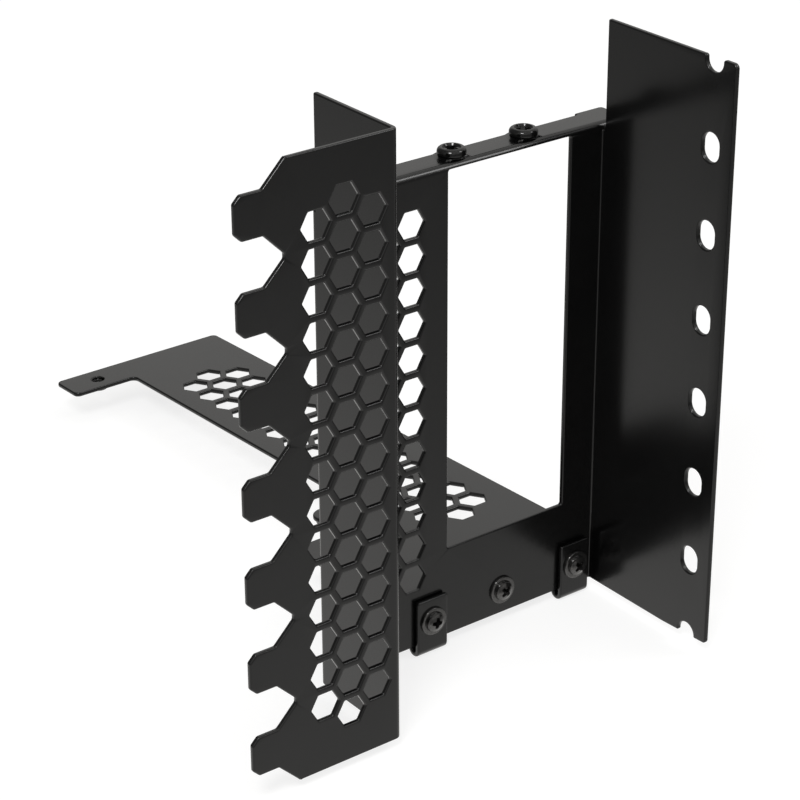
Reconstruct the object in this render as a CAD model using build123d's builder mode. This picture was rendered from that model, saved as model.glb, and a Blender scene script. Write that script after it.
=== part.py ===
"""Vertical card bracket: a folded rear frame with a comb of slot tongues, a perforated riser shelf and its screws.

Frame: +X to the right along the plates, +Y into the case, +Z up. The origin is the middle of the line of oblong
holes in the right flange, on the flange's outer face.
"""

from build123d import *
from math import cos, radians, sin, sqrt, tan
import os

os.makedirs("parts", exist_ok=True)

# Sheet metal: one gauge for both folded sheets
sheet = 1.2
bend_inside = 0.4
bend_middle = bend_inside + sheet / 2
bend_outside = bend_inside + sheet
corner_radius = 0.9

# Expansion slots set the height and every pitch on the two sides
slot_pitch = 20.32
slot_count = 7
height = slot_pitch * slot_count

# Rear frame, seen from above: comb, side wall, main plate and flange
frame_width = 81.43
hole_line_to_plate = 34.5
hole_line_to_front_edge = 6.6
comb_to_plate = 28.3
comb_reach = 38.2
relief = 0.6

flange_outer_x = 0.0
flange_inner_x = flange_outer_x - sheet
wall_x = flange_outer_x - frame_width
plate_y = hole_line_to_plate
flange_front_y = -hole_line_to_front_edge
comb_y = plate_y - comb_to_plate
comb_tip_x = wall_x - comb_reach
bottom_z = -height / 2
top_z = height / 2

# Oblong holes along the flange, with a half hole open at each end
slot_hole_width = 5.2
slot_hole_height = 6.8
notch_lip_radius = 0.6
flange_corner_radius = 1.2
flange_foot_rise = 0.65
flange_foot_run = 14.6

# Slot tongues of the comb and the gullets between them
tooth_width = 9.55
tooth_chamfer = 1.6
tooth_straight = 6.6
gullet_depth = 11.4
comb_root = 2.0
tooth_corner_radius = 0.8

# Hexagonal perforations: across flats, pitch up the column, and rows of each field
hex_flats = 6.35
hex_radius = hex_flats / sqrt(3)
comb_hex_pitch = 7.89
comb_hex_rows = 16
comb_field_to_wall = 12.35
comb_field_middle_z = 0.15
plate_hex_pitch = 8.0
plate_hex_rows = 12
plate_field_to_wall = 18.95
plate_field_middle_z = bottom_z + 62.4
shelf_hex_pitch = 8.09
shelf_hex_rows = 15

# Window for the card's sockets, and the strip folded back above it that takes the card's screws
window_to_wall = 35.95
window_width = 34.9
window_bottom_z = bottom_z + 23.2
window_corner_radius = 0.6
strip_top_z = bottom_z + 117.9
strip_depth = 7.8
strip_start_gap = 1.6
strip_overhang = 5.8
ear_length = 8.2
ear_extra_depth = 0.9
ear_corner_radius = 1.0
card_screw_to_wall = 50.15
card_screw_to_plate = 4.2
boss_height = 0.45
boss_base_radius = 4.2
boss_top_radius = 3.4

# Riser shelf behind the main plate: it falls a little towards the back
shelf_slope = 2.38
shelf_height = 13.8
shelf_right_to_flange = 2.38
shelf_left_to_wall = 44.95
shelf_reach = 164.3
shelf_corner_radius = 1.6
foot_left_to_wall = 19.25
foot_reach = 38.5
tongue_left_to_wall = 26.15
tongue_width = 11.1
ear_hole_to_wall = 36.05
tongue_hole_to_end = 5.9
side_tab_set_back = 48.0
side_tab_radius = 3.7
shelf_field_to_wall = 61.4
shelf_field_to_end = 23.9
shelf_bend_middle = 1.5

# Hooked tabs that wrap the plate's lower edge, and the three screws through them
tab_gap = 0.25
tab_width = 8.7
tab_height = 12.3
tab_corner_radius = 0.5
hook_drop = 0.7
left_screw_to_wall = 30.65
middle_screw_to_wall = 52.5
right_screw_to_flange = 7.15
shelf_screw_height = 6.45
apron_clearance = 0.6

# Shelf screws, each with a washer under a domed crown, and the drawn collars that they thread into
shelf_thread_radius = 1.5
clearance_radius = 1.7
shelf_collar_radius = 2.4
shelf_collar_height = 1.1
washer_radius = 3.5
washer_thickness = 0.6
washer_chamfer = 0.18
crown_radius = 2.45
crown_side = 0.5
crown_shoulder_radius = 1.75
crown_shoulder_height = 1.66
crown_flat_radius = 0.4
crown_height = 1.95
crown_recess_span = 2.9
crown_recess_width = 0.75
tab_screw_length = 5.2
plate_screw_length = 4.6

# Card screws, coarser and with a tall flat head, and the shelf's two collars of that thread
case_thread_radius = 1.75
case_collar_radius = 2.9
case_collar_height = 1.3
pan_radius = 3.3
pan_foot_radius = 3.05
pan_side_low = 0.3
pan_side_high = 0.85
pan_shoulder_radius = 2.96
pan_shoulder_height = 1.46
pan_flat_radius = 2.3
pan_height = 1.75
pan_recess_span = 3.8
pan_recess_width = 0.95
card_screw_length = 1.6

# All screws
thread_fit = 0.04
thread_tip_chamfer = 0.3
recess_depth = 1.1

# How far a cutting shape runs past the faces that it cuts
overcut = 2.0


def hex_field(rows, pitch, odd_rows):
    """Centres of three hexagon columns about their middle: the outer two hold one fewer when odd_rows is set."""
    column_step = pitch * sqrt(3) / 2
    outer_rows = rows - 1 if odd_rows else rows
    middle_rows = rows if odd_rows else rows - 1
    centres = []
    for column, count in ((-1, outer_rows), (0, middle_rows), (1, outer_rows)):
        for row in range(count):
            centres.append((column * column_step, (row - (count - 1) / 2) * pitch))
    return centres


def shelf_top(set_back):
    """Height of the shelf's upper face at a distance behind the main plate's front face."""
    return bottom_z + shelf_height - set_back * tan(radians(shelf_slope))


# Comb outline in its own plane: the teeth's straight tips, 45 degree shoulders and the gullets between them
gullet_x = comb_tip_x + gullet_depth
shoulder_x = comb_tip_x + tooth_straight
root_x = gullet_x + comb_root
gullet_run = gullet_x - shoulder_x
end_run = (slot_pitch - tooth_width) / 2


def tooth_points(tooth_z, low_run, high_run):
    """One tooth's corners from its lower shoulder to its upper one, with shoulders of the given lengths."""
    low = tooth_z - tooth_width / 2
    high = tooth_z + tooth_width / 2
    return [
        (shoulder_x + low_run, low - low_run),
        (shoulder_x, low),
        (comb_tip_x + tooth_chamfer, low),
        (comb_tip_x, low + tooth_chamfer),
        (comb_tip_x, high - tooth_chamfer),
        (comb_tip_x + tooth_chamfer, high),
        (shoulder_x, high),
        (shoulder_x + high_run, high + high_run),
    ]


comb_outline = [(root_x, bottom_z)]
for slot in range(slot_count):
    comb_outline += tooth_points(
        bottom_z + (slot + 0.5) * slot_pitch,
        end_run if slot == 0 else gullet_run,
        end_run if slot == slot_count - 1 else gullet_run,
    )
comb_outline.append((root_x, top_z))

# Heights and lines that the folds share
strip_bend_z = strip_top_z - bend_outside
strip_back_y = plate_y + strip_depth
strip_end_x = flange_outer_x + strip_overhang
plate_back_y = plate_y + sheet
window_top_z = strip_top_z - sheet
boss_top_z = strip_top_z + boss_height
screw_z = bottom_z + shelf_screw_height
card_screw_y = plate_y + card_screw_to_plate
card_screw_xs = [
    wall_x + card_screw_to_wall - slot_pitch / 2,
    wall_x + card_screw_to_wall + slot_pitch / 2,
]
tab_screw_xs = [wall_x + left_screw_to_wall, flange_outer_x - right_screw_to_flange]
middle_screw_x = wall_x + middle_screw_to_wall
shelf_screw_xs = tab_screw_xs + [middle_screw_x]

# Rear frame: one sheet folded along three upright bends, with the strip folded back over the window
with BuildPart() as rear_frame:
    with BuildSketch(Plane.XY.offset(bottom_z)):
        with BuildLine():
            FilletPolyline(
                (root_x - sheet, comb_y + sheet / 2),
                (wall_x + sheet / 2, comb_y + sheet / 2),
                (wall_x + sheet / 2, plate_y + sheet / 2),
                (flange_inner_x + sheet / 2, plate_y + sheet / 2),
                (flange_inner_x + sheet / 2, flange_front_y),
                radius=bend_middle,
            )
        trace(line_width=sheet)
    extrude(amount=height)

    with BuildSketch(Plane.XZ.offset(-comb_y)) as comb_face:
        with BuildLine():
            Polyline(*comb_outline, close=True)
        make_face()
        fillet(comb_face.vertices().sort_by(Axis.X)[:-2], tooth_corner_radius)
    extrude(amount=-sheet)

    # The plate stops at the strip, and a short relief cut frees the wall and the flange above it
    with BuildSketch(Plane.XZ.offset(-plate_y + relief)):
        with Locations((wall_x + frame_width / 2, (strip_bend_z + top_z + overcut) / 2)):
            Rectangle(frame_width + 2 * overcut, top_z - strip_bend_z + overcut)
    extrude(amount=-(relief + sheet + overcut), mode=Mode.SUBTRACT)

    # Strip: it leaves the plate in a bend and runs back, with a deeper ear past the flange
    with BuildSketch(Plane.YZ.offset(wall_x + strip_start_gap)):
        with BuildLine():
            upright = Line((plate_y + sheet / 2, strip_bend_z - sheet), (plate_y + sheet / 2, strip_bend_z))
            fold = TangentArc(
                upright @ 1,
                (plate_y + sheet / 2 + bend_middle, strip_bend_z + bend_middle),
                tangent=upright % 1,
            )
            Line(fold @ 1, (strip_back_y + ear_extra_depth, strip_bend_z + bend_middle))
        trace(line_width=sheet)
    extrude(amount=strip_end_x - wall_x - strip_start_gap)
    with BuildSketch(Plane.XY.offset(strip_top_z + overcut)):
        with Locations((strip_end_x - ear_length - frame_width / 2, strip_back_y + ear_extra_depth)):
            Rectangle(frame_width, 2 * ear_extra_depth)
    extrude(amount=-(sheet + 2 * overcut), mode=Mode.SUBTRACT)
    with BuildSketch(Plane.XZ.offset(-plate_y + relief)):
        with Locations((strip_end_x, strip_bend_z - overcut / 2)):
            Rectangle(2 * strip_overhang, overcut)
    extrude(amount=-(relief + sheet + overcut), mode=Mode.SUBTRACT)
    ear_corner = rear_frame.edges().filter_by(Axis.Z).sort_by(Axis.Y)[-2:].sort_by(Axis.X)[-1]
    fillet(ear_corner, ear_corner_radius)

    # Window, up to the strip's underside, with its lower corners slightly rounded
    with BuildSketch(Plane.XZ.offset(-plate_back_y)) as window:
        with Locations((wall_x + window_to_wall + window_width / 2, (window_bottom_z + window_top_z) / 2)):
            Rectangle(window_width, window_top_z - window_bottom_z)
        fillet(window.vertices().group_by(Axis.Z)[0], window_corner_radius)
    extrude(amount=sheet + overcut, mode=Mode.SUBTRACT)

    # Perforations of the comb and of the plate beside the window
    with BuildSketch(Plane.XZ.offset(-comb_y + overcut)):
        with Locations((wall_x - comb_field_to_wall, comb_field_middle_z)):
            with Locations(*hex_field(comb_hex_rows, comb_hex_pitch, True)):
                RegularPolygon(radius=hex_radius, side_count=6)
    extrude(amount=-(sheet + 2 * overcut), mode=Mode.SUBTRACT)
    with BuildSketch(Plane.XZ.offset(-plate_y + overcut)):
        with Locations((wall_x + plate_field_to_wall, plate_field_middle_z)):
            with Locations(*hex_field(plate_hex_rows, plate_hex_pitch, False)):
                RegularPolygon(radius=hex_radius, side_count=6)
    extrude(amount=-(sheet + 2 * overcut), mode=Mode.SUBTRACT)

    # Oblong holes of the flange, one at each slot boundary, the two end ones open
    with BuildSketch(Plane.YZ.offset(flange_inner_x - overcut)):
        with GridLocations(slot_pitch, slot_pitch, 1, slot_count + 1):
            SlotOverall(slot_hole_height, slot_hole_width, rotation=90)
    extrude(amount=sheet + 2 * overcut, mode=Mode.SUBTRACT)
    flange_foot_back_y = flange_front_y + flange_foot_run
    with BuildSketch(Plane.YZ.offset(flange_inner_x - overcut)):
        with BuildLine():
            Polyline(
                (flange_foot_back_y, bottom_z),
                (flange_front_y - overcut, bottom_z + flange_foot_rise * (1 + overcut / flange_foot_run)),
                (flange_front_y - overcut, bottom_z - overcut),
                (flange_foot_back_y, bottom_z - overcut),
                close=True,
            )
        make_face()
    extrude(amount=sheet + 2 * overcut, mode=Mode.SUBTRACT)
    flange_edges = rear_frame.edges().filter_by(Axis.X)
    top_edges = flange_edges.group_by(Axis.Z)[-1]
    fillet(top_edges.sort_by(Axis.Y)[1:3], notch_lip_radius)
    fillet(rear_frame.edges().filter_by(Axis.X).group_by(Axis.Z)[-1].sort_by(Axis.Y)[0], flange_corner_radius)
    lower_corner = rear_frame.edges().filter_by(Axis.X).group_by(Axis.Y)[0].sort_by(Axis.Z)[0]
    fillet(lower_corner, corner_radius)

    # Raised round seats under the card's screws, kept clear of the strip's bend and back edge
    for card_screw_x in card_screw_xs:
        with BuildPart(mode=Mode.PRIVATE) as boss:
            with BuildSketch(Plane.YZ.offset(card_screw_x)):
                with BuildLine():
                    Polyline(
                        (card_screw_y, strip_top_z - sheet / 2),
                        (card_screw_y + boss_base_radius, strip_top_z - sheet / 2),
                        (card_screw_y + boss_base_radius, strip_top_z),
                        (card_screw_y + boss_top_radius, boss_top_z),
                        (card_screw_y, boss_top_z),
                        close=True,
                    )
                make_face()
            revolve(axis=Axis((card_screw_x, card_screw_y, 0), (0, 0, 1)))
            with BuildSketch(Plane.XY.offset(strip_top_z - sheet)):
                with Locations((card_screw_x, (plate_y + bend_outside + strip_back_y) / 2)):
                    Rectangle(4 * boss_base_radius, strip_back_y - plate_y - bend_outside)
            extrude(amount=sheet + 2 * boss_height, mode=Mode.INTERSECT)
        add(boss.part)

    # Holes: clearance for the shelf's screws, and tapped holes for the card's screws
    with BuildSketch(Plane.XZ.offset(-plate_y + overcut)):
        with Locations(*[(x, screw_z) for x in shelf_screw_xs]):
            Circle(clearance_radius)
    extrude(amount=-(sheet + 2 * overcut), mode=Mode.SUBTRACT)
    with BuildSketch(Plane.XY.offset(boss_top_z + overcut)):
        with Locations(*[(x, card_screw_y) for x in card_screw_xs]):
            Circle(case_thread_radius + thread_fit)
    extrude(amount=-(boss_height + sheet + 2 * overcut), mode=Mode.SUBTRACT)

rear_frame.part.label = "rear_frame"
export_step(rear_frame.part, "parts/rear_frame.step")

# Riser shelf, seen from the side: hooked tab, upright apron behind the plate, bend, and the sloping shelf
apron_y = plate_back_y + sheet / 2
hook_radius = (tab_gap + sheet + sheet) / 2
hook_z = bottom_z - hook_drop
tab_middle_y = apron_y - 2 * hook_radius
tab_top_z = bottom_z + tab_height
shelf_angle = radians(shelf_slope)
shelf_middle_drop = sheet / 2 / cos(shelf_angle)
shelf_bend_end_y = apron_y + shelf_bend_middle * (1 - sin(shelf_angle))
shelf_bend_end_z = shelf_top(shelf_bend_end_y - plate_y) - shelf_middle_drop
shelf_bend_start_z = shelf_bend_end_z - shelf_bend_middle * cos(shelf_angle)
shelf_back_y = plate_y + shelf_reach
shelf_right_x = flange_outer_x - shelf_right_to_flange
shelf_left_x = wall_x + shelf_left_to_wall
foot_left_x = wall_x + foot_left_to_wall
foot_back_y = plate_y + foot_reach
tongue_left_x = wall_x + tongue_left_to_wall
ear_hole_x = wall_x + ear_hole_to_wall
side_tab_y = plate_y + side_tab_set_back
tongue_hole_y = shelf_back_y - tongue_hole_to_end
ear_holes = [(ear_hole_x, side_tab_y), (ear_hole_x, tongue_hole_y)]
profile_end_y = shelf_back_y + overcut
profile_end_z = shelf_bend_end_z - (profile_end_y - shelf_bend_end_y) * tan(shelf_angle)
hook_bottom_z = hook_z - hook_radius - sheet / 2
tab_face_y = plate_y - tab_gap - sheet

with BuildPart() as riser_shelf:
    with BuildSketch(Plane.YZ.offset(foot_left_x - overcut)):
        with BuildLine():
            tab_line = Line((tab_middle_y, tab_top_z), (tab_middle_y, hook_z))
            hook_low = TangentArc(
                tab_line @ 1, (tab_middle_y + hook_radius, hook_z - hook_radius), tangent=tab_line % 1
            )
            hook_high = TangentArc(hook_low @ 1, (apron_y, hook_z), tangent=hook_low % 1)
            apron = Line(hook_high @ 1, (apron_y, shelf_bend_start_z))
            shelf_bend = TangentArc(
                apron @ 1, (shelf_bend_end_y, shelf_bend_end_z), tangent=apron % 1
            )
            Line(shelf_bend @ 1, (profile_end_y, profile_end_z))
        trace(line_width=sheet)
    extrude(amount=shelf_right_x - foot_left_x + 2 * overcut)

    # Outline from above: a wide foot, the side tab, the shelf and the tongue at its far left corner
    with BuildSketch(Plane.XY.offset(hook_bottom_z - overcut), mode=Mode.PRIVATE) as outline:
        with BuildLine():
            Polyline(
                (foot_left_x, tab_face_y - overcut),
                (shelf_right_x, tab_face_y - overcut),
                (shelf_right_x, shelf_back_y),
                (tongue_left_x, shelf_back_y),
                (tongue_left_x, shelf_back_y - tongue_width),
                (shelf_left_x, shelf_back_y - tongue_width),
                (shelf_left_x, foot_back_y),
                (foot_left_x, foot_back_y),
                close=True,
            )
        make_face()
        outer_corners = outline.vertices().group_by(Axis.Y)[-1] + outline.vertices().group_by(Axis.Y)[-2]
        fillet(outer_corners, shelf_corner_radius)
        fillet(outline.vertices().sort_by(Axis.X).filter_by(
            lambda corner: abs(corner.Y - foot_back_y) < corner_radius / 2
        ), corner_radius)
        with Locations((ear_hole_x, side_tab_y)):
            Circle(side_tab_radius)
        with Locations(((ear_hole_x + shelf_left_x + overcut) / 2, side_tab_y)):
            Rectangle(shelf_left_x + overcut - ear_hole_x, 2 * side_tab_radius)
    extrude(outline.sketch, amount=shelf_top(0) - hook_bottom_z + 2 * overcut, mode=Mode.INTERSECT)

    # Only the two tabs hook round the plate's edge: the apron ends just above it elsewhere
    with BuildSketch(Plane.XZ.offset(-plate_back_y)):
        with Locations((wall_x + frame_width / 2, (tab_top_z + hook_bottom_z) / 2)):
            Rectangle(frame_width, tab_top_z - hook_bottom_z + 2 * overcut)
        with Locations(*[(x, (tab_top_z + hook_bottom_z) / 2) for x in tab_screw_xs]):
            Rectangle(tab_width, tab_top_z - hook_bottom_z + 2 * overcut, mode=Mode.SUBTRACT)
    extrude(amount=tab_gap + 2 * sheet + overcut, mode=Mode.SUBTRACT)
    apron_bottom_z = bottom_z + apron_clearance
    with BuildSketch(Plane.XZ.offset(-plate_back_y)):
        with Locations((wall_x + frame_width / 2, (apron_bottom_z + hook_bottom_z - overcut) / 2)):
            Rectangle(frame_width, apron_bottom_z - hook_bottom_z + overcut)
        with Locations(*[(x, (apron_bottom_z + hook_bottom_z) / 2) for x in tab_screw_xs]):
            Rectangle(tab_width, apron_bottom_z - hook_bottom_z + 2 * overcut, mode=Mode.SUBTRACT)
    extrude(amount=-(sheet + overcut), mode=Mode.SUBTRACT)
    tab_corners = (
        riser_shelf.edges().filter_by(Axis.Y).group_by(Axis.Y)[0].filter_by(
            lambda edge: edge.center().Z > tab_top_z - sheet / 2
        )
    )
    fillet(tab_corners, tab_corner_radius)

    # Perforated field
    field_middle_y = shelf_back_y - shelf_field_to_end - (shelf_hex_rows - 1) / 2 * shelf_hex_pitch
    with BuildSketch(Plane.XY.offset(bottom_z)):
        with Locations((wall_x + shelf_field_to_wall, field_middle_y)):
            with Locations(*hex_field(shelf_hex_rows, shelf_hex_pitch, True)):
                RegularPolygon(radius=hex_radius, side_count=6)
    extrude(amount=shelf_height + overcut, mode=Mode.SUBTRACT)

    # Drawn collars: under the tongue and the side tab, and behind the apron for the three screws
    for hole_x, hole_y in ear_holes:
        under_face = shelf_top(hole_y - plate_y) - sheet / 2
        with BuildSketch(Plane.XY.offset(under_face)):
            with Locations((hole_x, hole_y)):
                Circle(case_collar_radius)
        extrude(amount=-(case_collar_height + sheet / 2))
    with BuildSketch(Plane.XZ.offset(-apron_y)):
        with Locations(*[(x, screw_z) for x in shelf_screw_xs]):
            Circle(shelf_collar_radius)
    extrude(amount=-(shelf_collar_height + sheet / 2))
    with BuildSketch(Plane.XY.offset(bottom_z)):
        with Locations(*ear_holes):
            Circle(case_thread_radius + thread_fit)
    extrude(amount=shelf_height + overcut, mode=Mode.SUBTRACT)
    with BuildSketch(Plane.XZ.offset(-plate_y)):
        with Locations(*[(x, screw_z) for x in shelf_screw_xs]):
            Circle(shelf_thread_radius + thread_fit)
    extrude(amount=-(2 * sheet + shelf_collar_height + overcut), mode=Mode.SUBTRACT)
    with BuildSketch(Plane.XZ.offset(-plate_y)):
        with Locations(*[(x, screw_z) for x in tab_screw_xs]):
            Circle(clearance_radius)
    extrude(amount=tab_gap + sheet + overcut, mode=Mode.SUBTRACT)

riser_shelf.part.label = "riser_shelf"
export_step(riser_shelf.part, "parts/riser_shelf.step")


def make_screw(seat, length, thread_radius, rim, shoulder, flat, recess):
    """A cross recess screw on a plane that faces outwards.

    The head's half section is its rim points, an arc over the shoulder point and the flat top's edge.
    """
    flat_radius, top = flat
    with BuildPart() as screw:
        with BuildSketch(seat * Plane.XZ):
            with BuildLine():
                Polyline(
                    (flat_radius, top),
                    (0, top),
                    (0, -length),
                    (thread_radius - thread_tip_chamfer, -length),
                    (thread_radius, -length + thread_tip_chamfer),
                    (thread_radius, 0),
                    *rim,
                )
                ThreePointArc(rim[-1], shoulder, flat)
            make_face()
        revolve(axis=Axis(seat.origin, seat.z_dir))
        with BuildSketch(seat.offset(top - recess_depth)):
            Rectangle(*recess)
            Rectangle(*reversed(recess))
        extrude(amount=2 * recess_depth, mode=Mode.SUBTRACT)
    return screw.part


# Thread radius and head of the shelf's washer screws and of the card's flat headed screws
washer_head = (
    shelf_thread_radius,
    [
        (washer_radius, 0),
        (washer_radius, washer_thickness - washer_chamfer),
        (washer_radius - washer_chamfer, washer_thickness),
        (crown_radius, washer_thickness),
        (crown_radius, washer_thickness + crown_side),
    ],
    (crown_shoulder_radius, crown_shoulder_height),
    (crown_flat_radius, crown_height),
    (crown_recess_span, crown_recess_width),
)
pan_head = (
    case_thread_radius,
    [(pan_foot_radius, 0), (pan_radius, pan_side_low), (pan_radius, pan_side_high)],
    (pan_shoulder_radius, pan_shoulder_height),
    (pan_flat_radius, pan_height),
    (pan_recess_span, pan_recess_width),
)

# Card screws on the strip's raised seats, and the shelf's screws through the tabs and the plate
screws = {
    "card_screw_left": (Plane((card_screw_xs[0], card_screw_y, boss_top_z)), card_screw_length, pan_head),
    "card_screw_right": (Plane((card_screw_xs[1], card_screw_y, boss_top_z)), card_screw_length, pan_head),
    "shelf_screw_left": (
        Plane((tab_screw_xs[0], tab_face_y, screw_z), z_dir=(0, -1, 0)), tab_screw_length, washer_head
    ),
    "shelf_screw_middle": (
        Plane((middle_screw_x, plate_y, screw_z), z_dir=(0, -1, 0)), plate_screw_length, washer_head
    ),
    "shelf_screw_right": (
        Plane((tab_screw_xs[1], tab_face_y, screw_z), z_dir=(0, -1, 0)), tab_screw_length, washer_head
    ),
}
for name, (seat, length, head) in screws.items():
    screw = make_screw(seat, length, *head)
    screw.label = name
    export_step(screw, f"parts/{name}.step")
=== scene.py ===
"""Dresses the vertical card bracket: coated sheets, screws, tapped threads, floor, light and camera."""

import logging
import math
from dataclasses import dataclass
from enum import Enum

import bmesh
import bpy
from mathutils import Matrix, Vector


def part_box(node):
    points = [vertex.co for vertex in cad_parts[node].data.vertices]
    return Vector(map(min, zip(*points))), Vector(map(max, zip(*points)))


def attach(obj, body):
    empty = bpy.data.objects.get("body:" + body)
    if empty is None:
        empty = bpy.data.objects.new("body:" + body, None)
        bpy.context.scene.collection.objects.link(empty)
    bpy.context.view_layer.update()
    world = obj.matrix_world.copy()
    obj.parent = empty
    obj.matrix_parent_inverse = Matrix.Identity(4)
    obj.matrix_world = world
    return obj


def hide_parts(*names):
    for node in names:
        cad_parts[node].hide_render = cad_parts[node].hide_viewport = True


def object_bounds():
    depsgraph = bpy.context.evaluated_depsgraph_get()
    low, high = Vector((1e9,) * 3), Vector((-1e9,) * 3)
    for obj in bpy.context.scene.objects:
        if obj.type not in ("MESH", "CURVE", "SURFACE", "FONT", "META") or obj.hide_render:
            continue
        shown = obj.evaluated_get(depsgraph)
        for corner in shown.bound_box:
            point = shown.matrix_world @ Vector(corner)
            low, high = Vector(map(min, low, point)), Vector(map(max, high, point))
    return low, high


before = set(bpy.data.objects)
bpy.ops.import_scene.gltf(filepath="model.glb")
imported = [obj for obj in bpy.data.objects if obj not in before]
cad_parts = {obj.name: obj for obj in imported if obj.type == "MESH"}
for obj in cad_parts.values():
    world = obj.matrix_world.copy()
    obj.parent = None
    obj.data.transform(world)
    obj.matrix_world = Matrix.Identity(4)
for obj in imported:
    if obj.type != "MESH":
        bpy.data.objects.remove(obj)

Color = tuple[float, float, float]
Triple = tuple[float, float, float]
Pair = tuple[float, float]

MM = 0.001
BODY = "root"
LOG = logging.getLogger("card_bracket")
CAD_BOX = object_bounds()


class Slot(Enum):
    """Material slots of the record."""

    FRAME = "frame_coat"
    SHELF = "shelf_coat"
    SCREW = "screw_black"


class Socket(Enum):
    """Kinds of a node tree's named inputs."""

    VALUE = "NodeSocketFloat"
    OBJECT = "NodeSocketObject"
    MATERIAL = "NodeSocketMaterial"


class Facing(Enum):
    """Where a screw or a thread points, as an axis."""

    UP = (0, 0, 1)
    FORWARDS = (0, -1, 0)


class ShaderTree:
    """A material's node tree and the few steps that every finish here takes in it.

    Most values of a noise lie in NOISE_SPAN, so a tone or a spread runs over that span.
    """

    NOISE_SPAN = (0.3, 0.7)

    def __init__(self, name: str) -> None:
        """Starts a material with its principled shader.

        Args:
            name: The material's name.
        """
        self.material = bpy.data.materials.new(name)
        self.material.use_nodes = True
        self.nodes = self.material.node_tree.nodes
        self.links = self.material.node_tree.links
        self.shader = self.nodes["Principled BSDF"]
        self.place = self.nodes.new("ShaderNodeTexCoord").outputs["Object"]

    def noise(self, size_mm: float, detail: float) -> bpy.types.NodeSocket:
        """Adds noise over the object's own coordinates.

        Args:
            size_mm: Width of one cloud of the noise.
            detail: Octaves of finer noise in it.

        Returns:
            The noise's value.
        """
        noise = self.nodes.new("ShaderNodeTexNoise")
        noise.inputs["Scale"].default_value = 1 / (size_mm * MM)
        noise.inputs["Detail"].default_value = detail
        self.links.new(self.place, noise.inputs["Vector"])
        return noise.outputs["Fac"]

    def spread(self, value: bpy.types.NodeSocket, low: float, high: float, into: str) -> None:
        """Maps a noise to a range and feeds it to one of the shader's inputs.

        Args:
            value: The noise's value.
            low: The range's lower end.
            high: Its upper end.
            into: The shader's input.
        """
        spread = self.nodes.new("ShaderNodeMapRange")
        ends = (*self.NOISE_SPAN, low, high)
        for label, end in zip(("From Min", "From Max", "To Min", "To Max"), ends):
            spread.inputs[label].default_value = end
        self.links.new(value, spread.inputs["Value"])
        self.links.new(spread.outputs["Result"], self.shader.inputs[into])

    def tone(self, value: bpy.types.NodeSocket, low: Color, high: Color) -> None:
        """Feeds the base colour with a mix of two colours.

        Args:
            value: The noise that mixes them.
            low: The colour where the noise is low.
            high: The colour where it is high.
        """
        ramp = self.nodes.new("ShaderNodeValToRGB")
        for stop, position, color in zip(ramp.color_ramp.elements, self.NOISE_SPAN, (low, high)):
            stop.position = position
            stop.color = (*color, 1)
        self.links.new(value, ramp.inputs["Fac"])
        self.links.new(ramp.outputs["Color"], self.shader.inputs["Base Color"])

    def bump(self, height: bpy.types.NodeSocket, depth_mm: float, strength: float) -> None:
        """Feeds the shader's normal with a bump.

        Args:
            height: The noise that gives the bump its form.
            depth_mm: Its depth.
            strength: The share of it that is taken, from 0 to 1.
        """
        bump = self.nodes.new("ShaderNodeBump")
        bump.inputs["Strength"].default_value = strength
        bump.inputs["Distance"].default_value = depth_mm * MM
        self.links.new(height, bump.inputs["Height"])
        self.links.new(bump.outputs["Normal"], self.shader.inputs["Normal"])


@dataclass(frozen=True)
class PowderCoat:
    """Satin black powder coat: a fine orange peel over an almost black body."""

    name: str
    low_tone: Color = (0.0016, 0.0016, 0.0017)
    high_tone: Color = (0.0028, 0.0028, 0.0029)
    cloud_mm: float = 16.0
    cloud_detail: float = 3.0
    roughness: Pair = (0.18, 0.23)
    peel_mm: float = 0.6
    peel_detail: float = 2.0
    peel_depth_mm: float = 0.008
    peel_strength: float = 0.3

    def build(self) -> bpy.types.Material:
        """Makes the node material.

        Returns:
            The material.
        """
        tree = ShaderTree(self.name)
        peel = tree.noise(self.peel_mm, self.peel_detail)
        tree.tone(tree.noise(self.cloud_mm, self.cloud_detail), self.low_tone, self.high_tone)
        tree.spread(peel, *self.roughness, "Roughness")
        tree.bump(peel, self.peel_depth_mm, self.peel_strength)
        return tree.material


@dataclass(frozen=True)
class BlackZinc:
    """Glossy black zinc of the screws: nearly all metal, with a soft grain left by the plating bath."""

    name: str
    low_tone: Color = (0.08, 0.079, 0.078)
    high_tone: Color = (0.14, 0.138, 0.136)
    metallic: float = 0.9
    roughness: Pair = (0.07, 0.12)
    grain_mm: float = 0.35
    grain_detail: float = 3.0
    grain_depth_mm: float = 0.004
    grain_strength: float = 0.2

    def build(self) -> bpy.types.Material:
        """Makes the node material.

        Returns:
            The material.
        """
        tree = ShaderTree(self.name)
        grain = tree.noise(self.grain_mm, self.grain_detail)
        tree.tone(grain, self.low_tone, self.high_tone)
        tree.spread(grain, *self.roughness, "Roughness")
        tree.shader.inputs["Metallic"].default_value = self.metallic
        tree.bump(grain, self.grain_depth_mm, self.grain_strength)
        return tree.material


def new_object(name: str, data: bpy.types.ID) -> bpy.types.Object:
    """Puts a mesh, a camera or a lamp into the scene as an object at the origin.

    Args:
        name: The object's name.
        data: What it holds.

    Returns:
        The object.
    """
    piece = bpy.data.objects.new(name, data)
    bpy.context.scene.collection.objects.link(piece)
    return piece


def object_of(work: bmesh.types.BMesh, name: str) -> bpy.types.Object:
    """Turns a working mesh into an object whose faces point outwards, and frees the working mesh.

    Args:
        work: The closed working mesh.
        name: Name of the object and of its mesh.

    Returns:
        The object, at the origin.
    """
    bmesh.ops.recalc_face_normals(work, faces=work.faces)
    mesh = bpy.data.meshes.new(name)
    work.to_mesh(mesh)
    work.free()
    return new_object(name, mesh)


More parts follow.
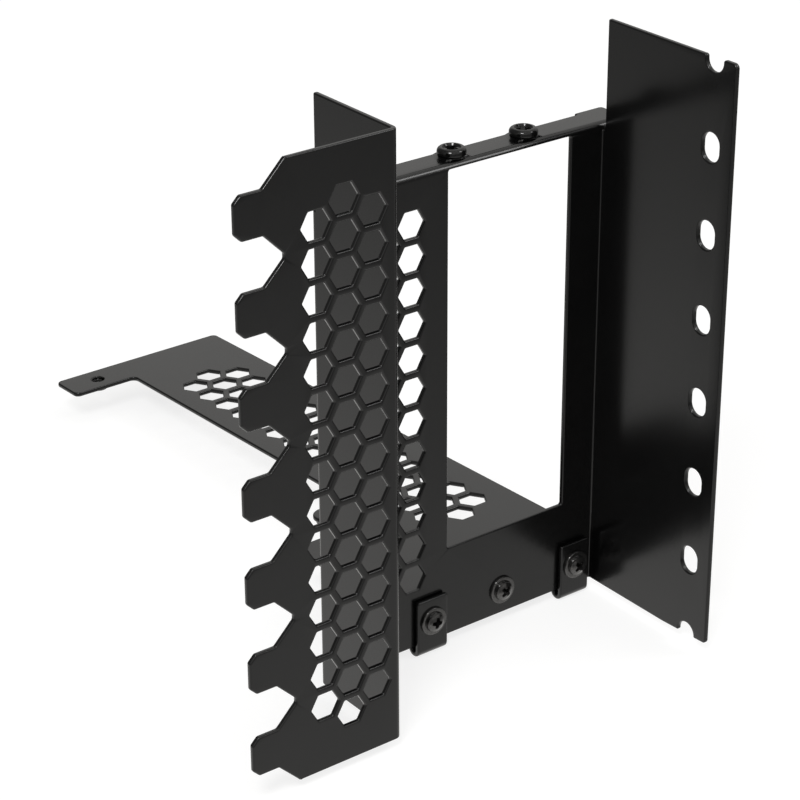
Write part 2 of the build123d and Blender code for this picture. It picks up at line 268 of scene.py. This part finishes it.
def bake(piece: bpy.types.Object) -> None:
    """Turns an object's modifiers into a plain mesh and takes them off.

    Args:
        piece: The object.
    """
    bpy.context.view_layer.update()
    evaluated = piece.evaluated_get(bpy.context.evaluated_depsgraph_get())
    plain = bpy.data.meshes.new_from_object(evaluated)
    piece.modifiers.clear()
    piece.data = plain


def hand_over(piece: bpy.types.Object, nodes: tuple[str, ...]) -> None:
    """Gives a finished piece to the frame.

    Args:
        piece: The finished piece.
        nodes: The CAD nodes that it stands for.
    """
    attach(piece, BODY)
    if nodes:
        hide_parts(*nodes)
    LOG.info("%s: %d faces", piece.name, len(piece.data.polygons))


@dataclass
class CoatedSheet:
    """A folded sheet from the CAD model with its cut edges rounded by the coat."""

    node: str
    slot: Slot
    finish: PowderCoat
    edge_mm: float = 0.36
    edge_segments: int = 3
    edge_angle: float = 38.0
    merge_mm: float = 0.002
    flat_angle: float = 0.2
    flat_weight: int = 100
    most_corners: int = 4

    def make(self) -> bpy.types.Object:
        """Copies the CAD node, rounds its edges and gives it the coat.

        Returns:
            The finished sheet.
        """
        piece = new_object(f"{self.node}_coated", self.copy_mesh())
        self.round_edges(piece)
        bake(piece)
        self.keep_in_box(piece)
        piece.data.materials.clear()
        piece.data.materials.append(self.finish.build())
        hand_over(piece, (self.node,))
        return piece

    def copy_mesh(self) -> bpy.types.Mesh:
        """Copies the CAD node's mesh, joins its loose triangles and clears the lines in its flat faces.

        Returns:
            The copy, with every face of more than most_corners corners cut into triangles.
        """
        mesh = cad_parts[self.node].data.copy()
        work = bmesh.new()
        work.from_mesh(mesh)
        bmesh.ops.remove_doubles(work, verts=work.verts, dist=self.merge_mm * MM)
        bmesh.ops.dissolve_limit(
            work, angle_limit=math.radians(self.flat_angle), verts=work.verts, edges=work.edges
        )
        large = [face for face in work.faces if len(face.verts) > self.most_corners]
        bmesh.ops.triangulate(work, faces=large)
        work.to_mesh(mesh)
        work.free()
        mesh.shade_smooth()
        return mesh

    def round_edges(self, piece: bpy.types.Object) -> None:
        """Adds the modifiers that round the sheet's edges and keep its flat faces flat.

        Args:
            piece: The sheet.
        """
        rounding = piece.modifiers.new("rounded edges", "BEVEL")
        rounding.width = self.edge_mm * MM
        rounding.segments = self.edge_segments
        rounding.limit_method = "ANGLE"
        rounding.angle_limit = math.radians(self.edge_angle)
        rounding.use_clamp_overlap = False
        rounding.loop_slide = False
        shading = piece.modifiers.new("flat faces stay flat", "WEIGHTED_NORMAL")
        shading.mode = "FACE_AREA"
        shading.weight = self.flat_weight

    def keep_in_box(self, piece: bpy.types.Object) -> None:
        """Pulls the few corners that the rounding pushes past the CAD node's box back to it.

        Args:
            piece: The rounded sheet.
        """
        low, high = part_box(self.node)
        for vertex in piece.data.vertices:
            vertex.co = [min(max(value, least), most) for value, least, most in zip(vertex.co, low, high)]


@dataclass(frozen=True)
class Seat:
    """Where a screw or a thread sits: a point in millimetres, where it faces and its turn in degrees."""

    place_mm: Triple
    facing: Facing
    turn: float = 0.0


@dataclass(frozen=True)
class Thread:
    """A screw thread: its outer radius, its pitch and its length down from the seat."""

    radius_mm: float
    pitch_mm: float
    length_mm: float


@dataclass(frozen=True)
class CrossRecess:
    """A cross recess that narrows towards its floor.

    It is full size at its shoulder, which lies that share of the depth down. Its taper at the floor and its
    flare over the head's face are shares of the full size. The waist between two arms stands at that share of
    half an arm's width.
    """

    span_mm: float
    width_mm: float
    depth_mm: float
    taper: float = 0.4
    shoulder: float = 0.25
    flare: float = 1.12
    over_face_mm: float = 0.3
    waist: float = 1.45
    arms: int = 4

    def outline_mm(self) -> list[Vector]:
        """Draws the cross: an arm's end and the waist beside it, turned to every arm.

        Returns:
            The points in order.
        """
        long = self.span_mm / 2
        short = self.width_mm / 2
        inner = short * self.waist
        arm = [(long, -short), (long, short), (inner, inner)]
        turns = [Matrix.Rotation(math.tau * index / self.arms, 2) for index in range(self.arms)]
        return [turn @ Vector(point) for turn in turns for point in arm]

    def cutter(self, face_mm: float) -> bpy.types.Object:
        """Makes the cross that is cut from a head.

        Args:
            face_mm: Height of the head's face over the seat.

        Returns:
            The cutter, which reaches over the face.
        """
        levels = (
            (self.taper, face_mm - self.depth_mm),
            (1.0, face_mm - self.shoulder * self.depth_mm),
            (self.flare, face_mm + self.over_face_mm),
        )
        outline = self.outline_mm()
        work = bmesh.new()
        rings = [
            [work.verts.new((x * scale * MM, y * scale * MM, height * MM)) for x, y in outline]
            for scale, height in levels
        ]
        for low, high in zip(rings, rings[1:]):
            for index in range(len(outline)):
                following = (index + 1) % len(outline)
                work.faces.new((low[index], low[following], high[following], high[index]))
        work.faces.new(rings[0])
        work.faces.new(rings[-1])
        return object_of(work, "recess")


@dataclass(frozen=True)
class ScrewForm:
    """One form of screw: its head's half section up from the seat, its cross recess and its thread.

    The core lies core_inset of a pitch inside the thread's outer radius.
    """

    rim_mm: tuple[Pair, ...]
    recess: CrossRecess
    thread: Thread
    core_inset: float = 0.55
    tip_chamfer_mm: float = 0.2
    round_steps: int = 56
    merge_mm: float = 0.001
    smooth_angle: float = 32.0

    @property
    def height_mm(self) -> float:
        """Height over the seat of the head's face around its recess."""
        return self.rim_mm[-1][1]

    def section_mm(self) -> list[Pair]:
        """Draws the whole half section: tip, core, head and the middle of its face.

        Returns:
            The points in order, out from the axis and up from the seat.
        """
        core = self.thread.radius_mm - self.core_inset * self.thread.pitch_mm
        tip = -self.thread.length_mm
        chamfer = self.tip_chamfer_mm
        shank = [(0.0, tip), (core - chamfer, tip), (core, tip + chamfer), (core, 0.0)]
        return [*shank, *self.rim_mm, (0.0, self.height_mm)]

    def body(self) -> bpy.types.Object:
        """Makes the screw without its thread's ridge, seated at the origin and facing up.

        Returns:
            A working object that the node tree copies to every seat.
        """
        work = bmesh.new()
        ring = [work.verts.new((x * MM, 0, z * MM)) for x, z in self.section_mm()]
        edges = [work.edges.new(pair) for pair in zip(ring, ring[1:])]
        bmesh.ops.spin(
            work, geom=ring + edges, cent=(0, 0, 0), axis=Facing.UP.value, angle=math.tau,
            steps=self.round_steps,
        )
        bmesh.ops.remove_doubles(work, verts=work.verts, dist=self.merge_mm * MM)
        body = object_of(work, "screw_body")
        cutter = self.recess.cutter(self.height_mm)
        cut = body.modifiers.new("recess", "BOOLEAN")
        cut.operation = "DIFFERENCE"
        cut.solver = "EXACT"
        cut.object = cutter
        bake(body)
        bpy.data.objects.remove(cutter)
        body.data.shade_smooth()
        body.data.set_sharp_from_angle(angle=math.radians(self.smooth_angle))
        return body


class SeatTree:
    """Geometry Nodes that copy a body to every seat and wind a thread's ridge under it."""

    AXIS = "seat_axis"
    TURN = "seat_turn"
    STEPS_A_TURN = 28
    RIDGE_SIDES = 4

    def __init__(self, name: str, with_body: bool) -> None:
        """Builds the tree.

        Args:
            name: The tree's name.
            with_body: Whether a body is copied along with the thread.
        """
        self.tree = bpy.data.node_groups.new(name, "GeometryNodeTree")
        self.keys: dict[str, str] = {}
        interface = self.tree.interface
        interface.new_socket("Seats", in_out="INPUT", socket_type="NodeSocketGeometry")
        interface.new_socket("Geometry", in_out="OUTPUT", socket_type="NodeSocketGeometry")
        inputs = {
            "Radius": Socket.VALUE, "Pitch": Socket.VALUE, "Length": Socket.VALUE,
            "Ridge": Socket.VALUE, "Material": Socket.MATERIAL,
        }
        if with_body:
            inputs["Body"] = Socket.OBJECT
        for label, kind in inputs.items():
            socket = interface.new_socket(label, in_out="INPUT", socket_type=kind.value)
            self.keys[label] = socket.identifier
        self.wire(with_body)

    def add(self, kind: str, **settings: str | bool) -> bpy.types.Node:
        """Adds a node and sets its properties.

        Args:
            kind: The node's type.
            **settings: Its properties by name.

        Returns:
            The node.
        """
        node = self.tree.nodes.new(kind)
        for key, value in settings.items():
            setattr(node, key, value)
        return node

    def combine(
        self, operation: str, left: bpy.types.NodeSocket, right: bpy.types.NodeSocket | float
    ) -> bpy.types.NodeSocket:
        """Adds a node that works out one value from two.

        Args:
            operation: How, such as DIVIDE.
            left: The first value.
            right: The second one, or a fixed number.

        Returns:
            The result.
        """
        node = self.add("ShaderNodeMath", operation=operation)
        self.tree.links.new(left, node.inputs[0])
        if isinstance(right, float):
            node.inputs[1].default_value = right
        else:
            self.tree.links.new(right, node.inputs[1])
        return node.outputs[0]

    def ridge(self, given: bpy.types.bpy_prop_collection) -> bpy.types.NodeSocket:
        """Winds the thread's ridge around the axis, down from the seat.

        Args:
            given: The tree's own inputs by name.

        Returns:
            The ridge.
        """
        link = self.tree.links.new
        spiral = self.add("GeometryNodeCurveSpiral")
        spiral.inputs["Resolution"].default_value = self.STEPS_A_TURN
        link(self.combine("DIVIDE", given["Length"], given["Pitch"]), spiral.inputs["Rotations"])
        link(given["Radius"], spiral.inputs["Start Radius"])
        link(given["Radius"], spiral.inputs["End Radius"])
        link(given["Length"], spiral.inputs["Height"])
        tooth = self.add("GeometryNodeCurvePrimitiveCircle")
        tooth.inputs["Resolution"].default_value = self.RIDGE_SIDES
        link(given["Ridge"], tooth.inputs["Radius"])
        ridge = self.add("GeometryNodeCurveToMesh")
        ridge.inputs["Fill Caps"].default_value = True
        link(spiral.outputs["Curve"], ridge.inputs["Curve"])
        link(tooth.outputs["Curve"], ridge.inputs["Profile Curve"])
        drop = self.add("ShaderNodeCombineXYZ")
        link(self.combine("MULTIPLY", given["Length"], -1.0), drop.inputs["Z"])
        down = self.add("GeometryNodeTransform")
        link(drop.outputs["Vector"], down.inputs["Translation"])
        link(ridge.outputs["Mesh"], down.inputs["Geometry"])
        return down.outputs["Geometry"]

    def facing(self) -> bpy.types.NodeSocket:
        """Turns up to each seat's axis, and then around that axis by the seat's turn.

        Returns:
            The rotation of every copy.
        """
        link = self.tree.links.new
        axis = self.add("GeometryNodeInputNamedAttribute", data_type="FLOAT_VECTOR")
        axis.inputs["Name"].default_value = self.AXIS
        outwards = self.add("FunctionNodeAlignRotationToVector", axis="Z")
        link(axis.outputs["Attribute"], outwards.inputs["Vector"])
        turn = self.add("GeometryNodeInputNamedAttribute", data_type="FLOAT")
        turn.inputs["Name"].default_value = self.TURN
        angles = self.add("ShaderNodeCombineXYZ")
        link(turn.outputs["Attribute"], angles.inputs["Z"])
        roll = self.add("FunctionNodeEulerToRotation")
        link(angles.outputs["Vector"], roll.inputs["Euler"])
        rolled = self.add("FunctionNodeRotateRotation", rotation_space="LOCAL")
        link(outwards.outputs["Rotation"], rolled.inputs["Rotation"])
        link(roll.outputs["Rotation"], rolled.inputs["Rotate By"])
        return rolled.outputs["Rotation"]

    def wire(self, with_body: bool) -> None:
        """Adds and links the nodes.

        Args:
            with_body: Whether a body is copied along with the thread.
        """
        link = self.tree.links.new
        given = self.add("NodeGroupInput").outputs
        whole = self.add("GeometryNodeJoinGeometry")
        link(self.ridge(given), whole.inputs["Geometry"])
        if with_body:
            body = self.add("GeometryNodeObjectInfo", transform_space="ORIGINAL")
            link(given["Body"], body.inputs["Object"])
            link(body.outputs["Geometry"], whole.inputs["Geometry"])
        copies = self.add("GeometryNodeInstanceOnPoints")
        link(given["Seats"], copies.inputs["Points"])
        link(whole.outputs["Geometry"], copies.inputs["Instance"])
        link(self.facing(), copies.inputs["Rotation"])
        real = self.add("GeometryNodeRealizeInstances")
        link(copies.outputs["Instances"], real.inputs["Geometry"])
        finish = self.add("GeometryNodeSetMaterial")
        link(real.outputs["Geometry"], finish.inputs["Geometry"])
        link(given["Material"], finish.inputs["Material"])
        link(finish.outputs["Geometry"], self.add("NodeGroupOutput").inputs["Geometry"])


@dataclass
class SeatedSet:
    """Equal screws, or equal threads in tapped holes, as one piece.

    A thread's ridge has four sides, and its corners lie ridge_share of a pitch from its middle line.
    """

    name: str
    seats: list[Seat]
    thread: Thread
    material: bpy.types.Material
    slot: Slot
    form: ScrewForm | None = None
    nodes: tuple[str, ...] = ()
    ridge_share: float = 0.36

    def make(self) -> bpy.types.Object:
        """Copies the form to its seats.

        Returns:
            The finished set.
        """
        piece = new_object(self.name, self.seat_mesh())
        builder = SeatTree(f"{self.name}_tree", self.form is not None)
        ridge = self.ridge_share * self.thread.pitch_mm
        values = {
            "Radius": (self.thread.radius_mm - ridge) * MM,
            "Pitch": self.thread.pitch_mm * MM,
            "Length": self.thread.length_mm * MM,
            "Ridge": ridge * MM,
            "Material": self.material,
        }
        if self.form:
            values["Body"] = self.form.body()
        copier = piece.modifiers.new("seats", "NODES")
        copier.node_group = builder.tree
        for label, value in values.items():
            copier[builder.keys[label]] = value
        bake(piece)
        if self.form:
            bpy.data.objects.remove(values["Body"])
        for label in (SeatTree.AXIS, SeatTree.TURN):
            if label in piece.data.attributes:
                piece.data.attributes.remove(piece.data.attributes[label])
        hand_over(piece, self.nodes)
        return piece

    def seat_mesh(self) -> bpy.types.Mesh:
        """Makes loose points that carry the seats' axes and turns.

        Returns:
            The points as a mesh.
        """
        mesh = bpy.data.meshes.new(self.name)
        mesh.from_pydata([Vector(seat.place_mm) * MM for seat in self.seats], [], [])
        axes = mesh.attributes.new(SeatTree.AXIS, "FLOAT_VECTOR", "POINT")
        for point, seat in zip(axes.data, self.seats):
            point.vector = seat.facing.value
        turns = mesh.attributes.new(SeatTree.TURN, "FLOAT", "POINT")
        for point, seat in zip(turns.data, self.seats):
            point.value = math.radians(seat.turn)
        return mesh


def arc(centre: Pair, radius: float, start: float, end: float, steps: int) -> list[Pair]:
    """Points of an arc in a head's half section.

    Args:
        centre: The arc's centre, out from the axis and up from the seat.
        radius: The arc's radius.
        start: Angle of its first point in degrees, 0 outwards and 90 upwards.
        end: Angle of its last point.
        steps: Number of spans.

    Returns:
        The points in order.
    """
    angles = [math.radians(start + (end - start) * step / steps) for step in range(steps + 1)]
    return [(centre[0] + radius * math.cos(angle), centre[1] + radius * math.sin(angle)) for angle in angles]


@dataclass(frozen=True)
class PanScrew:
    """The strip's screw: a flat head with a rounded rim and a shallow dish around its recess.

    Insets are measured inwards from the head's radius. Angles are in degrees, 0 outwards and 90 upwards.
    """

    radius_mm: float = 3.3
    height_mm: float = 1.75
    foot_inset_mm: float = 0.25
    foot_round_mm: float = 0.35
    foot_round_up_mm: float = 0.4
    foot_begin: float = -45.0
    foot_steps: int = 3
    rim_round_mm: float = 1.0
    rim_end: float = 78.0
    rim_steps: int = 10
    dish_inset_mm: float = 1.2
    dish_floor_inset_mm: float = 1.5
    dish_mm: float = 0.4
    recess: CrossRecess = CrossRecess(span_mm=3.1, width_mm=0.95, depth_mm=1.9)
    thread: Thread = Thread(radius_mm=1.75, pitch_mm=0.79, length_mm=1.6)

    def form(self) -> ScrewForm:
        """Draws the head's half section from its foot to the dish's floor.

        Returns:
            The screw's form.
        """
        foot_centre = (self.radius_mm - self.foot_round_mm, self.foot_round_up_mm)
        rim_centre = (self.radius_mm - self.rim_round_mm, self.height_mm - self.rim_round_mm)
        rim = (
            (self.radius_mm - self.foot_inset_mm, 0.0),
            *arc(foot_centre, self.foot_round_mm, self.foot_begin, 0, self.foot_steps),
            *arc(rim_centre, self.rim_round_mm, 0, self.rim_end, self.rim_steps),
            (self.radius_mm - self.dish_inset_mm, self.height_mm),
            (self.radius_mm - self.dish_floor_inset_mm, self.height_mm - self.dish_mm),
        )
        return ScrewForm(rim, self.recess, self.thread)


@dataclass(frozen=True)
class WasherScrew:
    """The shelf's screw: a domed crown on a washer. Angles are in degrees, 0 outwards and 90 upwards."""

    washer_radius_mm: float = 3.5
    washer_mm: float = 0.6
    washer_round_mm: float = 0.16
    washer_steps: int = 4
    crown_radius_mm: float = 2.45
    crown_height_mm: float = 1.95
    crown_foot_mm: float = 0.12
    side_round_mm: float = 0.45
    side_round_up_mm: float = 0.5
    side_end: float = 30.0
    side_steps: int = 3
    dome_mm: float = 4.4
    dome_begin: float = 59.5
    dome_end: float = 86.0
    dome_steps: int = 9
    flat_mm: float = 0.25
    recess: CrossRecess = CrossRecess(span_mm=2.7, width_mm=0.72, depth_mm=2.6)
    thread: Thread = Thread(radius_mm=1.5, pitch_mm=0.5, length_mm=5.0)

    def form(self) -> ScrewForm:
        """Draws the head's half section from the washer's foot to the flat on the crown.

        Returns:
            The screw's form.
        """
        edge_centre = (self.washer_radius_mm - self.washer_round_mm, self.washer_mm - self.washer_round_mm)
        side_centre = (self.crown_radius_mm - self.side_round_mm, self.washer_mm + self.side_round_up_mm)
        dome_centre = (0.0, self.crown_height_mm - self.dome_mm)
        rim = (
            (self.washer_radius_mm, 0.0),
            *arc(edge_centre, self.washer_round_mm, 0, 90, self.washer_steps),
            (self.crown_radius_mm + self.crown_foot_mm, self.washer_mm),
            *arc(side_centre, self.side_round_mm, 0, self.side_end, self.side_steps),
            *arc(dome_centre, self.dome_mm, self.dome_begin, self.dome_end, self.dome_steps),
            (self.flat_mm, self.crown_height_mm),
        )
        return ScrewForm(rim, self.recess, self.thread)


@dataclass
class ScrewKit:
    """The bracket's screws: two flat headed ones on the strip and three with washers on the shelf's tabs."""

    card_zinc_with_shade: BlackZinc
    shelf_finish: BlackZinc
    pan: PanScrew = PanScrew()
    washer: WasherScrew = WasherScrew()
    card_nodes: tuple[str, ...] = ("card_screw_left", "card_screw_right")
    card_turns: tuple[float, ...] = (20.0, 55.0)
    shelf_nodes: tuple[str, ...] = ("shelf_screw_left", "shelf_screw_middle", "shelf_screw_right")
    shelf_turns: tuple[float, ...] = (-9.0, 42.0, 40.0)

    def seats(
        self, names: tuple[str, ...], turns: tuple[float, ...], facing: Facing, head_mm: float
    ) -> list[Seat]:
        """Reads the seats from the CAD screws' boxes.

        Args:
            names: The CAD screws.
            turns: Turn of each recess in degrees.
            facing: Where their heads point.
            head_mm: Height of the head over its seat.

        Returns:
            One seat for each screw.
        """
        found = []
        for name, turn in zip(names, turns):
            low, high = (Vector(corner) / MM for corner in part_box(name))
            place = (low + high) / 2
            if facing is Facing.UP:
                place.z = high.z - head_mm
            else:
                place.y = low.y + head_mm
            found.append(Seat(tuple(place), facing, turn))
        return found

    def make(self) -> None:
        """Makes both sets of screws."""
        SeatedSet(
            "card_screws",
            self.seats(self.card_nodes, self.card_turns, Facing.UP, self.pan.height_mm),
            self.pan.thread,
            self.card_zinc_with_shade.build(),
            Slot.SCREW,
            self.pan.form(),
            self.card_nodes,
        ).make()
        SeatedSet(
            "shelf_screws",
            self.seats(self.shelf_nodes, self.shelf_turns, Facing.FORWARDS, self.washer.crown_height_mm),
            self.washer.thread,
            self.shelf_finish.build(),
            Slot.SCREW,
            self.washer.form(),
            self.shelf_nodes,
        ).make()


@dataclass
class TappedHoles:
    """The threads in the shelf's two tapped holes, the one in its tongue and the one in its side tab."""

    finish: PowderCoat
    tongue_mm: Triple = (-45.38, 192.9, -63.9)
    side_tab_mm: Triple = (-45.38, 82.5, -59.32)
    thread: Thread = Thread(radius_mm=2.0, pitch_mm=0.79, length_mm=2.4)

    def make(self) -> None:
        """Winds a thread down from the top of each hole."""
        seats = [Seat(place, Facing.UP) for place in (self.tongue_mm, self.side_tab_mm)]
        SeatedSet("tapped_threads", seats, self.thread, self.finish.build(), Slot.SHELF).make()


@dataclass
class Camera:
    """The camera of the product view, in millimetres and degrees, with its clipping distances in metres."""

    place_mm: Triple = (-364.863, -370.255, 240.741)
    azimuth: float = -37.0736
    elevation: float = 25.8965
    roll: float = -0.2869
    focal_px: float = 2539.47
    image_px: float = 800.0
    sensor_mm: float = 36.0
    nearest: float = 0.01
    farthest: float = 20.0

    def make(self) -> bpy.types.Object:
        """Makes the camera and gives it to the scene.

        Returns:
            The camera's object.
        """
        around, rise, roll = (math.radians(angle) for angle in (self.azimuth, self.elevation, self.roll))
        back = Vector((
            math.sin(around) * math.cos(rise),
            -math.cos(around) * math.cos(rise),
            math.sin(rise),
        ))
        right = Vector((math.cos(around), math.sin(around), 0))
        up = back.cross(right)
        rolled_right = math.cos(roll) * right + math.sin(roll) * up
        rolled_up = math.cos(roll) * up - math.sin(roll) * right
        data = bpy.data.cameras.new("camera")
        data.sensor_width = self.sensor_mm
        data.lens = self.focal_px * self.sensor_mm / self.image_px
        data.clip_start = self.nearest
        data.clip_end = self.farthest
        camera = new_object("camera", data)
        turn = Matrix((rolled_right, rolled_up, back)).transposed()
        camera.matrix_world = Matrix.Translation(Vector(self.place_mm) * MM) @ turn.to_4x4()
        bpy.context.scene.camera = camera
        return camera


@dataclass(frozen=True)
class Softbox:
    """A square area lamp that points at the frame's origin, in metres and watts."""

    place: Triple
    size: float
    power: float


@dataclass(frozen=True)
class Shade:
    """A side of the room whose light is multiplied by a share.

    The share comes in smoothly while the cosine to the side's direction goes from begin to end.
    """

    towards: Triple
    share: float
    begin: float = 0.2
    end: float = 0.95


@dataclass
class Studio:
    """White floor, a bright room with a darker horizon and shaded sides, and soft lamps.

    A band is a direction's height, from -1 straight down to 1 straight up, and the light from there. The
    camera sees the floor as floor_white, and about floor_bounce of that comes from the lamps and the room.
    """

    floor_z: float
    bands: tuple[Pair, ...] = (
        (-0.75, 1.0), (-0.60, 0.88), (-0.45, 0.68), (-0.36, 0.40), (-0.20, 0.23),
        (0.05, 0.32), (0.22, 0.56), (0.36, 0.76), (0.9, 0.85),
    )
    shades: tuple[Shade, ...] = (
        Shade((0.54, -0.76, -0.36), 0.84),
        Shade((-0.53, 0.64, 0.56), 0.3, 0.55, 0.9),
        Shade((-0.59, 0.76, -0.27), 1.15, 0.75, 0.98),
    )
    tint: Color = (1.0, 0.99, 0.965)
    floor_white: float = 1.02
    floor_bounce: float = 0.24
    floor_tone: Color = (0.3, 0.3, 0.3)
    floor_half: float = 3.0
    lamps: tuple[Softbox, ...] = (
        Softbox((-0.55, -0.35, 0.75), 0.25, 4.0),
        Softbox((0.54, -0.41, 0.70), 0.25, 1.2),
    )

    def make(self) -> None:
        """Makes the world, the floor and the lamps."""
        self.make_world()
        self.make_floor()
        for index, lamp in enumerate(self.lamps):
            data = bpy.data.lights.new(f"softbox_{index}", "AREA")
            data.size = lamp.size
            data.energy = lamp.power
            light = new_object(data.name, data)
            light.location = lamp.place
            light.rotation_euler = Vector(lamp.place).to_track_quat("Z", "Y").to_euler()

    def make_world(self) -> None:
        """Makes the room's light: white to the camera, shaded by direction to everything else."""
        world = bpy.data.worlds.new("studio")
        world.use_nodes = True
        bpy.context.scene.world = world
        nodes = world.node_tree.nodes
        link = world.node_tree.links.new
        direction = nodes.new("ShaderNodeTexCoord").outputs["Generated"]
        light = nodes["Background"]
        link(self.band_color(world.node_tree, direction), light.inputs["Color"])
        link(self.shade_level(world.node_tree, direction), light.inputs["Strength"])
        seen = nodes.new("ShaderNodeBackground")
        seen.inputs["Color"].default_value = (1, 1, 1, 1)
        path = nodes.new("ShaderNodeLightPath")
        mix = nodes.new("ShaderNodeMixShader")
        link(path.outputs["Is Camera Ray"], mix.inputs["Fac"])
        link(light.outputs["Background"], mix.inputs[1])
        link(seen.outputs["Background"], mix.inputs[2])
        link(mix.outputs["Shader"], nodes["World Output"].inputs["Surface"])

    def band_color(self, tree: bpy.types.NodeTree, direction: bpy.types.NodeSocket) -> bpy.types.NodeSocket:
        """Adds the bands.

        Args:
            tree: The world's node tree.
            direction: The direction that the light comes from.

        Returns:
            The colour of the light from there.
        """
        parts = tree.nodes.new("ShaderNodeSeparateXYZ")
        tree.links.new(direction, parts.inputs["Vector"])
        height = tree.nodes.new("ShaderNodeMapRange")
        height.inputs["From Min"].default_value = -1
        height.inputs["From Max"].default_value = 1
        tree.links.new(parts.outputs["Z"], height.inputs["Value"])
        ramp = tree.nodes.new("ShaderNodeValToRGB")
        stops = ramp.color_ramp.elements
        for index, (rise, level) in enumerate(self.bands):
            position = (rise + 1) / 2
            stop = stops[index] if index < len(stops) else stops.new(position)
            stop.position = position
            stop.color = (*(level * share for share in self.tint), 1)
        tree.links.new(height.outputs["Result"], ramp.inputs["Fac"])
        return ramp.outputs["Color"]

    def shade_level(self, tree: bpy.types.NodeTree, direction: bpy.types.NodeSocket) -> bpy.types.NodeSocket:
        """Adds the shades.

        Args:
            tree: The world's node tree.
            direction: The direction that the light comes from.

        Returns:
            The product of what all shades leave of the light from there.
        """
        level = tree.nodes.new("ShaderNodeValue").outputs["Value"]
        level.default_value = 1.0
        for side in self.shades:
            along = tree.nodes.new("ShaderNodeVectorMath")
            along.operation = "DOT_PRODUCT"
            along.inputs[1].default_value = side.towards
            tree.links.new(direction, along.inputs[0])
            share = tree.nodes.new("ShaderNodeMapRange")
            share.interpolation_type = "SMOOTHSTEP"
            ends = (side.begin, side.end, 1.0, side.share)
            for label, end in zip(("From Min", "From Max", "To Min", "To Max"), ends):
                share.inputs[label].default_value = end
            tree.links.new(along.outputs["Value"], share.inputs["Value"])
            product = tree.nodes.new("ShaderNodeMath")
            product.operation = "MULTIPLY"
            tree.links.new(share.outputs["Result"], product.inputs[0])
            tree.links.new(level, product.inputs[1])
            level = product.outputs["Value"]
        return level

    def make_floor(self) -> None:
        """Makes the floor: white with a faint shadow to the camera, clear to the bracket's reflections."""
        mesh = bpy.data.meshes.new("floor")
        half = self.floor_half
        corners = [(-half, -half), (half, -half), (half, half), (-half, half)]
        mesh.from_pydata([(x, y, self.floor_z) for x, y in corners], [], [(0, 1, 2, 3)])
        material = bpy.data.materials.new("floor_white")
        material.use_nodes = True
        nodes = material.node_tree.nodes
        link = material.node_tree.links.new
        nodes.remove(nodes["Principled BSDF"])
        matt = nodes.new("ShaderNodeBsdfDiffuse")
        matt.inputs["Color"].default_value = (*self.floor_tone, 1)
        glow = nodes.new("ShaderNodeEmission")
        glow.inputs["Strength"].default_value = self.floor_white - self.floor_bounce
        both = nodes.new("ShaderNodeAddShader")
        clear = nodes.new("ShaderNodeBsdfTransparent")
        path = nodes.new("ShaderNodeLightPath")
        mix = nodes.new("ShaderNodeMixShader")
        link(matt.outputs["BSDF"], both.inputs[0])
        link(glow.outputs["Emission"], both.inputs[1])
        link(path.outputs["Is Camera Ray"], mix.inputs["Fac"])
        link(clear.outputs["BSDF"], mix.inputs[1])
        link(both.outputs["Shader"], mix.inputs[2])
        link(mix.outputs["Shader"], nodes["Material Output"].inputs["Surface"])
        floor = new_object("floor", mesh)
        mesh.materials.append(material)


def main() -> None:
    """Builds the scene."""
    logging.basicConfig(level=logging.INFO)
    bpy.context.scene.view_settings.view_transform = "Standard"
    Camera().make()
    Studio(floor_z=CAD_BOX[0][2]).make()
    CoatedSheet("rear_frame", Slot.FRAME, PowderCoat("frame_powder_coat")).make()
    CoatedSheet("riser_shelf", Slot.SHELF, PowderCoat("shelf_powder_coat")).make()
    # The card screws take a darker copy of the same black zinc: painted shade, so that their heads read
    # darker under this light.
    card_zinc_painted_shade = BlackZinc("card_screw_zinc", low_tone=(0.028, 0.028, 0.028), high_tone=(0.05, 0.05, 0.05))
    ScrewKit(card_zinc_painted_shade, BlackZinc("shelf_screw_zinc")).make()
    TappedHoles(PowderCoat("thread_coat")).make()


if __name__ == "__main__":
    main()
